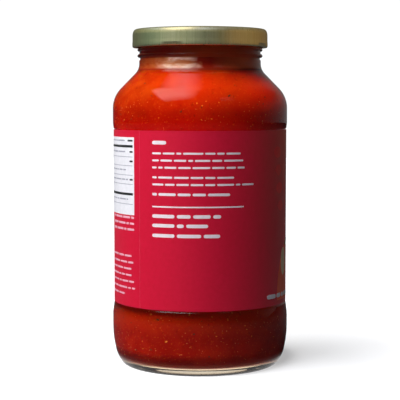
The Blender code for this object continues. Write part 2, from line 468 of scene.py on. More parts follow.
def sauce_look():
    """Cloudy sauce that light enters. It is more orange at the top, with painted light: a brighter
    red towards the right, on the upper foot and on the underside.
    """
    look = Look("simmered_tomato", 0.5, Specular_IOR_Level=0.0, Subsurface_Weight=1.0)
    look.set("Subsurface Radius", (1.0, 0.12, 0.05))
    look.set("Subsurface Scale", 11.0 * MM)
    cloud = look.noise(95.0, 4.0, 0.6)
    top = look.ramp(
        cloud, (0.3, srgb(156, 32, 1)), (0.5, srgb(170, 41, 1)), (0.72, srgb(182, 56, 4))
    )
    middle = look.ramp(
        cloud, (0.3, srgb(164, 6, 0)), (0.5, srgb(174, 10, 0)), (0.72, srgb(182, 20, 1))
    )
    foot = look.ramp(
        cloud, (0.3, srgb(150, 12, 1)), (0.5, srgb(164, 18, 2)), (0.72, srgb(178, 28, 4))
    )
    height = look.axis("Z")
    across = look.axis("X")
    # Painted light: mixed towards a brighter red from left of the middle rightwards, where the
    # lamps leave the sauce dark
    painted_light_rightwards = look.span(across, -26.0 * MM, -6.0 * MM, 0.0, 0.5)
    # Painted light: a brighter orange red on the upper foot, against the shade below the label
    foot = look.mix(look.span(height, 19.0 * MM, 29.0 * MM), foot, srgb(206, 44, 6))
    middle = look.mix(painted_light_rightwards, middle, srgb(214, 12, 0))
    top = look.mix(painted_light_rightwards, top, srgb(216, 40, 2))
    # Painted light: a brighter red still at the far right of the top
    top = look.mix(look.span(across, 16.0 * MM, 32.0 * MM), top, srgb(238, 44, 6))
    lower = look.mix(look.span(height, 60.0 * MM, 110.0 * MM), foot, middle)
    body = look.mix(look.span(height, 119.0 * MM, 133.0 * MM), lower, top)
    grain = look.span(look.noise(1150.0, 2.0), 0.6, 0.78)
    body = look.mix(grain, body, look.mix(0.45, body, srgb(235, 96, 20)))
    shade = look.span(look.noise(620.0, 2.0), 0.62, 0.78)
    body = look.mix(shade, body, look.mix(0.5, body, srgb(90, 6, 1)))
    # Seen at a flat angle through the glass floor, the underside is a mirror, as glass is
    # where it ends
    underside = look.span(height, *UNDERSIDE_FADE, 1.0, 0.0)
    flat = look.span(look.node("ShaderNodeLayerWeight").outputs["Facing"], 0.44, 0.56)
    mirror = look.product(underside, flat)
    look.link(mirror, look.shader.inputs["Metallic"])
    # Painted light: a brighter colour on the underside, which no lamp lights
    body = look.mix(underside, body, srgb(190, 60, 24))
    look.colour(look.mix(mirror, body, (0.54, 0.38, 0.24)))
    matt = look.span(look.noise(240.0, 2.0), 0.3, 0.7, 0.4, 0.6)
    look.rough(look.product(matt, look.span(mirror, 0.0, 0.1, 1.0, 0.0)))
    look.bump(look.noise(900.0, 2.0), look.span(height, *UNDERSIDE_FADE, 0.0, 0.2), 0.1 * MM)
    return look.material


def film_look():
    """Thin dried sauce at the left with a pale painted highlight, thicker sauce and painted shade
    right of it, orange further right, and, above the neck, painted shade at the left and painted
    light right of the middle.
    """
    look = Look("smeared_film", 0.4, Specular_IOR_Level=0.06, Subsurface_Weight=0.15)
    look.set("Subsurface Radius", (1.0, 0.4, 0.2))
    look.set("Subsurface Scale", 0.6 * MM)
    waves = look.noise(105.0, 3.0, 0.7, (1.0, 1.0, 3.0))
    # Painted highlight: the pale colours, used from left of the middle, stand where the key light
    # shows on the film
    pale = look.ramp(
        waves,
        (0.34, srgb(186, 84, 34)),
        (0.5, srgb(222, 140, 96)),
        (0.66, srgb(250, 204, 178)),
    )
    thin = look.ramp(waves, (0.36, srgb(162, 52, 10)), (0.64, srgb(188, 90, 40)))
    thick_and_shaded = look.ramp(waves, (0.35, srgb(146, 20, 1)), (0.65, srgb(168, 34, 6)))
    across = look.axis("X")
    height = look.axis("Z")
    left = look.mix(look.span(across, -21.0 * MM, -15.0 * MM), thin, pale)
    ragged = look.node("ShaderNodeMath", operation="MULTIPLY_ADD")
    look.link(look.noise(210.0, 3.0), ragged.inputs[0])
    ragged.inputs[1].default_value = 16.0 * MM
    look.link(across, ragged.inputs[2])
    # Painted shade: right of a ragged line the film takes the dark colour of thicker sauce
    smear = look.mix(look.span(ragged.outputs[0], 1.0 * MM, 8.0 * MM), left, thick_and_shaded)
    smear = look.mix(look.span(across, 5.0 * MM, 20.0 * MM), smear, srgb(226, 96, 44))
    wet = look.span(height, FILL_HEIGHT + 0.6 * MM, FILL_HEIGHT + 1.8 * MM)
    smear = look.mix(wet, srgb(150, 34, 8), smear)
    above = look.span(height, NECK_TOP + 0.5 * MM, NECK_TOP + 1.6 * MM)
    # Above the neck, where the lid shades it: painted shade at the left, and an orange right of the
    # middle that is painted light standing in for the light the rings catch
    top = look.mix(look.span(across, -14.0 * MM, 0.0), thick_and_shaded, srgb(216, 78, 30))
    look.colour(look.mix(above, smear, top))
    look.rough(look.span(waves, 0.3, 0.7, 0.3, 0.5))
    look.bump(look.noise(330.0, 3.0, 0.6, (1.0, 1.0, 2.2)), 0.3, 0.3 * MM)
    return look.material


def lid_look():
    """Gold lacquer over brushed metal, with fine upright streaks."""
    look = Look("gold_lacquer", 0.3, Metallic=1.0)
    streaks = look.noise(1500.0, 3.0, 0.0, (1.0, 1.0, 0.03))
    clouds = look.noise(60.0, 2.0)
    gold = look.ramp(
        streaks, (0.3, srgb(196, 187, 143)), (0.5, srgb(206, 196, 152)), (0.7, srgb(216, 207, 164))
    )
    look.colour(look.mix(look.span(clouds, 0.3, 0.7, 0.0, 0.4), gold, srgb(194, 180, 134)))
    look.rough(look.span(streaks, 0.3, 0.7, 0.26, 0.36))
    look.bump(streaks, 0.05, 0.05 * MM)
    return look.material


def paper_look(name, colour, darker, roughness=0.42):
    """Coated paper with a faint grain of fibres."""
    look = Look(name, roughness, Specular_IOR_Level=0.5, Coat_Weight=0.12, Coat_Roughness=0.3)
    fibres = look.noise(520.0, 4.0)
    look.colour(look.ramp(fibres, (0.3, darker), (0.7, colour)))
    look.rough(look.span(look.noise(160.0, 3.0), 0.3, 0.7, roughness - 0.05, roughness + 0.06))
    look.bump(fibres, 0.1, 0.06 * MM)
    return look.material


def ink_look(name, colour):
    """Ink on the paper, a little darker in its grain."""
    return paper_look(name, colour, tuple(0.9 * c for c in colour), 0.45)


def bit_look(name, first, second):
    look = Look(name, 0.45, Specular_IOR_Level=0.15, Subsurface_Weight=0.2)
    look.set("Subsurface Scale", 0.5 * MM)
    look.colour(look.ramp(look.noise(260.0, 2.0), (0.35, first), (0.65, second)))
    look.bump(look.noise(1500.0, 2.0), 0.3, 0.05 * MM)
    return look.material


# Glass, sauce and film

def make_glass():
    """The jar as one closed shell, outside and in."""
    rim = rounded(
        [
            (FINISH_RADIUS, RIM_HEIGHT - RIM_DEPTH, 0.0),
            (FINISH_RADIUS, RIM_HEIGHT, 1.1 * MM),
            (NECK_BORE_RADIUS, RIM_HEIGHT, 0.8 * MM),
            (NECK_BORE_RADIUS, RIM_HEIGHT - RIM_DEPTH, 0.0),
        ]
    )
    points = glass_outside() + rim[1:-1] + cavity()[::-1]
    jar = finish_mesh(spun(points, ROUND), "clear_jar", glass_look(), 50.0)
    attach(jar, "root")
    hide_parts("glass_jar")


def sauce_outline():
    return offset(cavity(), -INTO_WALL)


def make_sauce():
    """The sauce up to the level in the neck, with a surface that dips and waves a little."""
    outline = sauce_outline()
    below = [point for point in outline if point[1] < FILL_HEIGHT]
    edge = on_outline(outline, FILL_HEIGHT)[0]
    level = FILL_HEIGHT - SURFACE_DIP
    surface = [(edge * share, level) for share in (0.96, 0.88, 0.7, 0.45, 0.2, 0.0)]
    bm = spun(below + [(edge, FILL_HEIGHT)] + surface, ROUND)
    for vert in bm.verts:
        if abs(vert.co.z - level) < 0.1 * MM:
            vert.co.z += SURFACE_WAVE * noise.noise(vert.co * 180.0)
    sauce = finish_mesh(bm, "red_sauce", sauce_look(), 50.0)
    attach(sauce, "root")
    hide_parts("tomato_sauce")


def make_film():
    """Sauce smeared on the inside of the neck, from the sauce up to below the lid."""
    outline = cavity()
    bm = bmesh.new()
    rings = []
    for i in range(FILM_ROUND):
        azimuth = 360.0 * i / FILM_ROUND
        outer = []
        inner = []
        for row in range(FILM_ROWS + 1):
            share = row / FILM_ROWS
            z = FILL_HEIGHT - SURFACE_DIP + share * (FILM_TOP - FILL_HEIGHT)
            radius = on_outline(outline, z)[0]
            outer.append(polar(azimuth, radius + INTO_WALL / 2, z))
            lump = 0.6 + 0.8 * noise.noise(outer[-1] * 260.0)
            inner.append(polar(azimuth, radius - FILM_THICKNESS * max(0.2, lump), z))
        rings.append([bm.verts.new(point) for point in outer + inner[::-1]])
    closed_ring(bm, rings)
    film = finish_mesh(bm, "neck_film", film_look(), 60.0)
    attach(film, "root")


# Bits in the sauce

def make_bits(name, made_of, seed, count, sizes, bands, spots, flatness, roughness, slim):
    """Small bodies pressed against the glass, at the spots and strewn over bands of height."""
    rng = random.Random(seed)
    outline = sauce_outline()
    bm = bmesh.new()
    for azimuth, height, size in spots:
        add_bit(bm, rng, outline, azimuth, height * MM, size * MM, flatness, roughness, slim)
    for _ in range(count):
        low, high = rng.choices(bands, weights=[high - low for low, high in bands])[0]
        height = rng.uniform(low, high)
        azimuth = rng.uniform(-180.0, 180.0)
        add_bit(bm, rng, outline, azimuth, height, rng.uniform(*sizes), flatness, roughness, slim)
    bits = finish_mesh(bm, name, made_of, 60.0)
    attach(bits, "root")


def add_bit(bm, rng, outline, azimuth, height, size, flatness, roughness, slim):
    """One flat, lumpy body, sunk in the sauce but for the side that shows."""
    radius, out, up = on_outline(outline, height)
    side = polar(azimuth, 1.0, 0.0)
    outward = Vector((side.x * out, side.y * out, up))
    around = Vector((-side.y, side.x, 0.0))
    frame_of = Matrix((around, outward.cross(around), outward)).transposed().to_4x4()
    spin = Matrix.Rotation(rng.uniform(0.0, math.tau), 4, "Z")
    length = size * rng.uniform(0.8, 1.3)
    width = size * rng.uniform(0.7, 1.0) * slim
    depth = size * flatness
    centre = polar(azimuth, radius, height) - outward * (depth / 2 - BIT_SHOWS)
    shape = Matrix.Diagonal((length / 2, width / 2, depth / 2, 1.0))
    made = bmesh.ops.create_icosphere(
        bm,
        subdivisions=2,
        radius=1.0,
        matrix=Matrix.Translation(centre) @ frame_of @ spin @ shape,
    )
    shift = Vector((rng.uniform(0, 99), rng.uniform(0, 99), rng.uniform(0, 99)))
    for vert in made["verts"]:
        away = vert.co - centre
        along = away.dot(outward)
        flat = away - along * outward
        wave = 1.0 + roughness * noise.noise(flat * (1.6 / size) + shift)
        vert.co = centre + flat * wave + outward * along


# Bits that stand out: azimuth, height in mm, size in mm
HERB_SPOTS = (
    (-47.5, 137.2, 1.9),
    (-12.5, 124.8, 2.1),
    (20.5, 131.8, 2.0),
    (-66.0, 126.6, 1.9),
    (-65.0, 123.4, 1.6),
    (50.0, 131.0, 1.2),
    (-29.0, 27.0, 1.8),
    (-52.5, 24.0, 2.0),
    (-34.5, 12.6, 1.8),
    (-48.0, 11.4, 1.6),
    (-4.0, 21.0, 1.2),
    (1.0, 27.0, 1.4),
)
PULP_SPOTS = (
    (-34.0, 29.2, 2.3),
    (18.5, 27.6, 2.0),
    (31.0, 24.0, 1.3),
    (-22.8, 17.0, 1.9),
    (-22.0, 137.8, 1.1),
    (1.5, 127.6, 1.3),
    (-2.0, 128.6, 1.1),
    (4.0, 129.4, 1.0),
    (7.5, 121.6, 1.2),
    (-28.0, 122.0, 1.0),
)


def make_all_bits():
    """Herbs, pulp and bubbles where the label leaves the sauce in view."""
    foot = (7.0 * MM, 31.0 * MM)
    waist = (117.0 * MM, 130.0 * MM)
    crown = (130.0 * MM, 143.0 * MM)
    herbs = bit_look("dried_herb", srgb(40, 22, 4), srgb(84, 38, 6))
    make_bits(
        "herb_flecks",
        herbs,
        seed=11,
        count=44,
        sizes=(0.4 * MM, 1.1 * MM),
        bands=(foot, waist, crown),
        spots=HERB_SPOTS,
        flatness=0.3,
        roughness=0.8,
        slim=0.7,
    )
    pulp = bit_look("tomato_pulp", srgb(238, 120, 30), srgb(222, 76, 14))
    make_bits(
        "pulp_bits",
        pulp,
        seed=12,
        count=70,
        sizes=(0.4 * MM, 1.0 * MM),
        bands=(foot, waist),
        spots=PULP_SPOTS,
        flatness=0.3,
        roughness=0.7,
        slim=0.8,
    )
    pale = bit_look("air_bubble", srgb(236, 120, 70), srgb(226, 96, 50))
    make_bits(
        "tiny_bubbles",
        pale,
        seed=14,
        count=380,
        sizes=(0.25 * MM, 0.6 * MM),
        bands=(foot, waist),
        spots=(),
        flatness=0.6,
        roughness=0.1,
        slim=1.0,
    )


# Lid

def lug_share(azimuth):
    """How far the curl is pressed in: 1 on a lug, 0 between the lugs."""
    away = abs(math.remainder(azimuth - LUG_AZIMUTH, 360.0 / LUG_COUNT))
    share = min(1.0, max(0.0, (LUG_HALF_WIDTH - away) / LUG_RAMP))
    return share * share * (3.0 - 2.0 * share)


def press_lugs(bm):
    """Presses the curl of the lid inwards at each lug."""
    curl_top = LID_BOTTOM + CURL_HEIGHT
    for vert in bm.verts:
        if vert.co.z > curl_top + WELD:
            continue
        radius = math.hypot(vert.co.x, vert.co.y)
        share = lug_share(math.degrees(math.atan2(vert.co.x, -vert.co.y)))
        inside = (LID_RADIUS - radius) / CURL_DEPTH
        lowness = min(1.0, (curl_top - vert.co.z) / (CURL_SIDE_SHARE * CURL_HEIGHT))
        push = LUG_DENT * lowness + (LUG_REACH - LUG_DENT) * inside
        factor = (radius - share * push) / radius
        vert.co.x *= factor
        vert.co.y *= factor
        vert.co.z += share * LUG_LIFT * lowness


def lid_outline():
    """The section of the lid, from the middle of its top out, down and back inside."""
    panel = LID_TOP - LID_PANEL_DROP
    inner = LID_RADIUS - LID_WALL
    skirt = LID_RADIUS - LID_WAIST
    curl_top = LID_BOTTOM + CURL_HEIGHT
    top = [
        (0.0, panel + BUTTON_RISE, 0.0),
        (BUTTON_RADIUS, panel + BUTTON_RISE, 1.2 * MM),
        (BUTTON_RADIUS + BUTTON_SLOPE, panel, 1.2 * MM),
        (LID_PANEL_RADIUS, panel, 0.8 * MM),
        (LID_PANEL_RADIUS + LID_PANEL_SLOPE, LID_TOP, 0.6 * MM),
        (LID_RADIUS - LID_CORNER_WIDTH, LID_TOP, 0.0),
    ]
    corner = []
    for i in range(1, LID_CORNER_PARTS):
        angle = math.pi / 2 * i / LID_CORNER_PARTS
        r = LID_RADIUS - LID_CORNER_WIDTH + (LID_CORNER_WIDTH - LID_WAIST) * math.sin(angle)
        corner.append((r, LID_TOP - LID_CORNER_HEIGHT * (1.0 - math.cos(angle))))
    side = [
        (skirt, LID_TOP - LID_CORNER_HEIGHT, 0.0),
        (skirt, curl_top + 1.7 * MM, 3.0 * MM),
        (LID_RADIUS, curl_top + 0.2 * MM, 3.0 * MM),
        (LID_RADIUS, LID_BOTTOM + 0.9 * MM, 1.2 * MM),
        (LID_RADIUS - 0.06 * MM, LID_BOTTOM + 0.3 * MM, 0.4 * MM),
        (LID_RADIUS - 0.36 * MM, LID_BOTTOM, 0.2 * MM),
        (LID_RADIUS - CURL_DEPTH, LID_BOTTOM, 0.5 * MM),
        (LID_RADIUS - CURL_DEPTH, curl_top, 0.5 * MM),
        (inner, curl_top + CURL_GAP, 0.0),
    ]
    inside = [
        (inner, curl_top + CURL_GAP, 0.0),
        (inner, LID_TOP - LID_WALL, 1.35 * MM),
        (LID_PANEL_RADIUS + LID_PANEL_SLOPE - STEP_SHIFT, LID_TOP - LID_WALL, 0.3 * MM),
        (LID_PANEL_RADIUS - STEP_SHIFT, panel - LID_WALL, 0.3 * MM),
        (BUTTON_RADIUS + BUTTON_SLOPE, panel - LID_WALL, 0.0),
        (BUTTON_RADIUS, panel - LID_WALL + BUTTON_RISE, 0.0),
        (0.0, panel - LID_WALL + BUTTON_RISE, 0.0),
    ]
    step = math.radians(12.0)
    return rounded(top, step) + corner + rounded(side, step) + rounded(inside, step)[1:]


def make_lid():
    bm = spun(lid_outline(), LID_ROUND)
    bmesh.ops.remove_doubles(bm, verts=bm.verts, dist=WELD)
    press_lugs(bm)
    lid = finish_mesh(bm, "gold_lid", lid_look(), 50.0)
    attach(lid, "root")
    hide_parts("screw_lid")


# Label and its print

def label_radius(azimuth):
    """The outer radius of the label: a step at the seam, where its end laps over its start."""
    past = (azimuth - SEAM_AZIMUTH) % 360.0
    lap = min(1.0, max(0.0, (SEAM_OVERLAP + SEAM_RAMP - past) / SEAM_RAMP))
    return LABEL_RADIUS + LABEL_STEP * lap


def make_label():
    red = paper_look("crimson_paper", srgb(206, 8, 50), srgb(200, 6, 44))
    azimuths = [SEAM_AZIMUTH - SEAM_GAP, SEAM_AZIMUTH]
    azimuths += [SEAM_AZIMUTH + i * 360.0 / LABEL_ROUND for i in range(1, LABEL_ROUND)]
    bm = bmesh.new()
    rings = []
    for azimuth in azimuths:
        outer = label_radius(azimuth)
        inner = LABEL_RADIUS - LABEL_THICKNESS
        section = (
            (inner, LABEL_BOTTOM),
            (outer, LABEL_BOTTOM),
            (outer, LABEL_TOP),
            (inner, LABEL_TOP),
        )
        rings.append([bm.verts.new(polar(azimuth, r, z)) for r, z in section])
    closed_ring(bm, rings)
    label = finish_mesh(bm, "crimson_label", red)
    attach(label, "root")
    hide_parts("paper_label")


class Print:
    """One ink on the label: closed patches a little proud of the paper, in layers."""

    def __init__(self, name, made_of, layer=1):
        self.name = name
        self.made_of = made_of
        self.layer = layer
        self.bm = bmesh.new()

    def patch(self, azimuths, lows, highs):
        """A patch between two heights at each azimuth."""
        rings = []
        for azimuth, low, high in zip(azimuths, lows, highs):
            paper = label_radius(azimuth)
            outer = paper + INK * self.layer
            section = ((paper - INK, low), (outer, low), (outer, high), (paper - INK, high))
            rings.append([self.bm.verts.new(polar(azimuth, r, z)) for r, z in section])
        for ring, following in zip(rings, rings[1:]):
            for i in range(4):
                j = (i + 1) % 4
                self.bm.faces.new((ring[i], ring[j], following[j], following[i]))
        self.bm.faces.new(rings[0][::-1])
        self.bm.faces.new(rings[-1])

    def bar(self, start, end, middle, thickness):
        """A plain bar between two azimuths."""
        parts = max(1, math.ceil((end - start) / 1.5))
        azimuths = [start + (end - start) * i / parts for i in range(parts + 1)]
        count = len(azimuths)
        self.patch(azimuths, [middle - thickness / 2] * count, [middle + thickness / 2] * count)

    def steps_across(self, width):
        """Half a width in degrees, and places from -1 to 1 across it, closer at its ends."""
        degrees = math.degrees(width / 2 / LABEL_RADIUS)
        parts = max(24, math.ceil(2.2 * degrees))
        return degrees, [0.985 * math.cos(math.pi * (1 - i / parts)) for i in range(parts + 1)]

    def shape(self, azimuth, height, width, tall, outline, lean=0.0):
        """A shape of a width and height, whose half height at u from -1 to 1 is outline(u)."""
        degrees, steps = self.steps_across(width)
        middle = [height + lean * u * width / 2 for u in steps]
        halves = [max(0.02 * MM, tall / 2 * outline(u)) for u in steps]
        self.patch(
            [azimuth + degrees * u for u in steps],
            [m - h for m, h in zip(middle, halves)],
            [m + h for m, h in zip(middle, halves)],
        )

    def mound(self, azimuth, base, width, tall, outline):
        """A shape that stands on a level base, whose height at u is outline(u)."""
        degrees, steps = self.steps_across(width)
        self.patch(
            [azimuth + degrees * u for u in steps],
            [base] * len(steps),
            [base + max(0.05 * MM, tall * outline(u)) for u in steps],
        )

    def word(self, start, end, middle, thickness):
        """A plain bar with rounded ends, in the place of a word."""
        ease = min((end - start) / 3, math.degrees(thickness / 2 / LABEL_RADIUS))
        parts = max(1, math.ceil((end - start - 2 * ease) / 1.5))
        inner = [start + ease + (end - start - 2 * ease) * i / parts for i in range(parts + 1)]
        azimuths = [start, start + 0.3 * ease, *inner, end - 0.3 * ease, end]
        halves = [0.4, 0.8, *([1.0] * len(inner)), 0.8, 0.4]
        self.patch(
            azimuths,
            [middle - thickness / 2 * half for half in halves],
            [middle + thickness / 2 * half for half in halves],
        )

    def row(self, rng, start, end, middle, size, weight=0.44):
        """A row of plain bars as long as words, in the place of a line of print."""
        pitch = math.degrees(size * 0.56 / LABEL_RADIUS)
        at = start
        while at < end - 1.2 * pitch:
            finish = at + pitch * rng.choice((2, 3, 4, 5, 5, 6, 7, 8))
            if finish > end - 2.4 * pitch:
                finish = end
            self.word(at, finish, middle, size * weight)
            at = finish + pitch * 0.75

    def done(self):
        made = finish_mesh(self.bm, self.name, self.made_of)
        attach(made, "root")


# Outlines of printed shapes, as half heights from u = -1 to 1

def disc(u):
    return math.sqrt(max(0.0, 1.0 - u * u))


def leaf(u):
    return (1.0 - u * u) ** 1.2


# The white table and the print right of the seam
PANEL_LEFT = -112.0
PANEL_RIGHT = -47.1
PANEL_BOTTOM = 75.8 * MM
PANEL_HEIGHT = 36.9 * MM
TEXT_LEFT = -31.6

# The plain design on the other side
FRONT_AZIMUTH = SEAM_AZIMUTH + 180.0
PLAQUE_HEIGHT = 92.0 * MM
HILL_FOOT = 34.0 * MM


def print_table(panel, black, grey):
    """A white table with two heavy bars and thin lines, and blocks at the ends of its rows."""
    rng = random.Random(21)
    panel.bar(PANEL_LEFT, PANEL_RIGHT, PANEL_BOTTOM + PANEL_HEIGHT / 2, PANEL_HEIGHT)
    inset = 1.4
    for height in (108.4 * MM, 85.7 * MM):
        black.bar(PANEL_LEFT + inset, PANEL_RIGHT - inset, height, 1.15 * MM)
    for height in (103.4 * MM, 99.2 * MM, 94.7 * MM, 90.4 * MM, 80.9 * MM):
        grey.bar(PANEL_LEFT + inset, PANEL_RIGHT - inset - 0.1, height, 0.3 * MM)
    for height, left in ((111.1, -54.0), (105.8, -51.8), (101.3, -51.8), (92.6, -51.8)):
        black.row(rng, left, PANEL_RIGHT - inset, height * MM, 1.7 * MM, 0.5)
    lines = ((111.1, -57.5), (105.8, -57.0), (97.2, -56.0), (92.6, -53.5), (83.2, -53.5))
    for height, right in lines:
        grey.row(rng, PANEL_LEFT + inset, right, height * MM, 1.5 * MM)


def print_back(white, pink):
    """The rows of blocks right of the seam and the small ones left of it."""
    rng = random.Random(22)
    white.word(TEXT_LEFT, -21.7, 110.5 * MM, 1.7 * MM)
    for height, end in ((105.5, 26.4), (102.2, 28.2), (98.9, 29.3), (94.3, 21.9), (91.0, 36.2)):
        white.row(rng, TEXT_LEFT, end, height * MM, 2.1 * MM)
    white.row(rng, TEXT_LEFT, 19.2, 86.4 * MM, 2.2 * MM, 0.56)
    white.bar(TEXT_LEFT, 28.6, 80.6 * MM, 0.65 * MM)
    for height, end in ((76.2, 13.3), (71.8, 5.1), (67.1, 12.7)):
        white.row(rng, TEXT_LEFT, end, height * MM, 2.9 * MM, 0.56)
    for i in range(3):
        pink.row(rng, -78.0, -47.3, (74.6 - 2.85 * i) * MM, 1.9 * MM, 0.55)
    for i, end in enumerate((-50.0, -48.2, -50.3, -50.0, -47.6, -46.5, -58.5)):
        pink.row(rng, -80.0, end, (56.2 - 3.08 * i) * MM, 2.0 * MM)


def print_front(tone, cream, orange, deep, green, pale):
    """A plain design of round hills, leaves and an empty plaque on the side away from the seam."""
    rng = random.Random(23)
    for side in (-1, 1):
        for row in range(4):
            azimuth = FRONT_AZIMUTH + side * (76.5 - 1.5 * row)
            height = (105.5 - 8.6 * row) * MM
            tone.shape(azimuth, height, 7.6 * MM, 5.4 * MM, leaf if row % 2 else disc)
    deep.shape(FRONT_AZIMUTH, PLAQUE_HEIGHT, 72.0 * MM, 35.0 * MM, disc)
    cream.shape(FRONT_AZIMUTH, PLAQUE_HEIGHT, 66.0 * MM, 30.0 * MM, disc)
    for shift, lean in ((-17.0, 0.4), (0.0, -0.4), (17.0, 0.4)):
        green.shape(FRONT_AZIMUTH + shift, PLAQUE_HEIGHT, 9.0 * MM, 5.0 * MM, leaf, lean)
    for i in range(5):
        azimuth = FRONT_AZIMUTH + (i - 2) * 29.5
        tall = (27.0 + 3.0 * (i % 2)) * MM
        orange.mound(azimuth, HILL_FOOT, 27.0 * MM, tall, disc)
        cream.shape(azimuth - 7.5, HILL_FOOT + tall * 0.68, 6.5 * MM, tall * 0.5, disc)
        green.shape(azimuth + 2.0, HILL_FOOT + tall * 1.02, 8.0 * MM, 2.6 * MM, leaf, 0.3)
    for side in (-1, 1):
        middle = FRONT_AZIMUTH + side * 70.0
        pale.row(rng, middle - 19.0, middle + 19.0, 36.4 * MM, 2.6 * MM, 0.8)


def make_print():
    white = Print("white_print", ink_look("white_ink", srgb(246, 232, 234)))
    pink = Print("pink_print", ink_look("pink_ink", srgb(236, 170, 184)))
    panel = Print("table_panel", ink_look("panel_ink", srgb(240, 238, 240)))
    black = Print("black_print", ink_look("black_ink", srgb(28, 26, 28)), 2)
    grey = Print("grey_print", ink_look("grey_ink", srgb(168, 166, 176)), 2)
    tone = Print("bright_red_print", ink_look("bright_red_ink", srgb(236, 10, 46)))
    deep = Print("deep_red_print", ink_look("deep_red_ink", srgb(120, 8, 28)))
    cream = Print("cream_print", ink_look("cream_ink", srgb(236, 206, 162)), 3)
    orange = Print("orange_print", ink_look("orange_ink", srgb(240, 84, 40)), 2)
    green = Print("green_print", ink_look("green_ink", srgb(72, 104, 44)), 4)
    pale = Print("front_rows", ink_look("front_row_ink", srgb(232, 222, 222)), 4)
    print_table(panel, black, grey)
    print_back(white, pink)
    print_front(tone, cream, orange, deep, green, pale)
    for ink in (white, pink, panel, black, grey, tone, deep, cream, orange, green, pale):
        ink.done()
    seam = Print("seam_edge", ink_look("bare_paper", srgb(226, 120, 140)))
    seam.patch(
        [SEAM_AZIMUTH - 0.02, SEAM_AZIMUTH + 0.42],
        [LABEL_BOTTOM + 0.02 * MM] * 2,
        [LABEL_TOP - 0.02 * MM] * 2,
    )
    seam.done()


# Studio

# The height that every lamp faces, how far off each stands, and the key's size and power
LIT_HEIGHT = 90.0 * MM
LAMP_DISTANCE = 1.1
KEY_SIZE = 0.82
KEY_ENERGY = 29.5


def shine_card(
    name,
    azimuth,
    elevation,
    size,
    levels,
    roll=0.0,
    shift=(0.0, 0.0),
    full=(-0.44, 0.1, -0.44, 0.35),
):
    """A glowing card that only glossy surfaces show, with a level for its lower and upper edge.

    Full says where its glow is whole, as shares of its size, coming from the left, right,
    lower and upper edge.
    """
    look = Look(name + "_glow", 1.0)
    x, y = look.axis("X"), look.axis("Y")
    wide, tall = size
    strength = look.product(
        look.span(y, tall * -0.45, tall * 0.5, *levels),
        look.span(x, wide * -0.5, wide * full[0]),
        look.span(x, wide * 0.5, wide * full[1]),
        look.span(y, tall * -0.5, tall * full[2]),
        look.span(y, tall * 0.5, tall * full[3]),
    )
    glow = look.node("ShaderNodeEmission")
    look.link(strength, glow.inputs["Strength"])
    look.finish(glow.outputs[0])
    bm = bmesh.new()
    bmesh.ops.create_grid(bm, x_segments=1, y_segments=1, size=0.5)
    for vert in bm.verts:
        vert.co.x *= wide
        vert.co.y *= tall
    card = finish_mesh(bm, name, look.material)
    place_lamp(card, azimuth, elevation, roll, shift)
    card.visible_camera = False
    card.visible_diffuse = False
    card.visible_transmission = False
    card.visible_shadow = False


def place_lamp(obj, azimuth, elevation, roll=0.0, shift=(0.0, 0.0)):
    """Puts a lamp or card at a direction from the middle of the jar, facing it."""
    level = math.radians(elevation)
    target = Vector((0.0, 0.0, LIT_HEIGHT))
    away = polar(azimuth, math.cos(level), 0.0) + Vector((0.0, 0.0, math.sin(level)))
    turned = away.to_track_quat("Z", "Y") @ Quaternion((0.0, 0.0, 1.0), math.radians(roll))
    obj.location = target + away * LAMP_DISTANCE + turned @ Vector((*shift, 0.0))
    obj.rotation_euler = turned.to_euler()


def make_lights():
    """A soft key from the upper left, and the cards that are seen mirrored instead of it."""
    lamp = bpy.data.lights.new("key", "AREA")
    lamp.shape = "RECTANGLE"
    lamp.size = KEY_SIZE
    lamp.size_y = KEY_SIZE
    lamp.energy = KEY_ENERGY
    key = bpy.data.objects.new("key", lamp)
    bpy.context.scene.collection.objects.link(key)
    place_lamp(key, azimuth=-57.0, elevation=60.5)
    key.visible_camera = False
    key.visible_glossy = False
    key.visible_transmission = False
    shine_card(
        "key_card",
        azimuth=-58.6,
        elevation=59.5,
        size=(0.95, 1.3),
        levels=(3.3, 1.6),
        roll=43.7,
        shift=(0.08, -0.15),
        full=(-0.4, 0.14, -0.1, 0.35),
    )
    shine_card("right_card", azimuth=40.0, elevation=36.0, size=(0.4, 0.3), levels=(0.3, 0.3))


# What the lid shows of the room at each azimuth, level with it and well above it, cool on
# the left and warm on the right
ROOM = (
    (-180.0, (0.1, 0.1, 0.08), (0.12, 0.12, 0.1)),
    (-131.0, (0.15, 0.18, 0.155), (0.34, 0.36, 0.24)),
    (-91.0, (0.19, 0.32, 0.32), (0.5, 0.6, 0.5)),
    (-70.0, (0.34, 0.49, 0.49), (0.7, 0.78, 0.66)),
    (-50.0, (0.48, 0.58, 0.62), (0.7, 0.78, 0.7)),
    (-32.0, (0.41, 0.51, 0.5), (0.6, 0.66, 0.56)),
    (-15.0, (0.27, 0.36, 0.335), (0.45, 0.5, 0.42)),
    (1.0, (0.165, 0.22, 0.23), (0.36, 0.4, 0.34)),
    (18.0, (0.13, 0.165, 0.19), (0.34, 0.36, 0.3)),
    (34.0, (0.16, 0.165, 0.125), (0.26, 0.26, 0.18)),
    (52.0, (0.365, 0.265, 0.16), (0.36, 0.28, 0.17)),
    (71.0, (0.42, 0.29, 0.155), (0.42, 0.3, 0.17)),
    (92.0, (0.39, 0.28, 0.145), (0.4, 0.3, 0.17)),
    (124.0, (0.3, 0.19, 0.092), (0.3, 0.22, 0.13)),
    (180.0, (0.1, 0.1, 0.08), (0.12, 0.12, 0.1)),
)
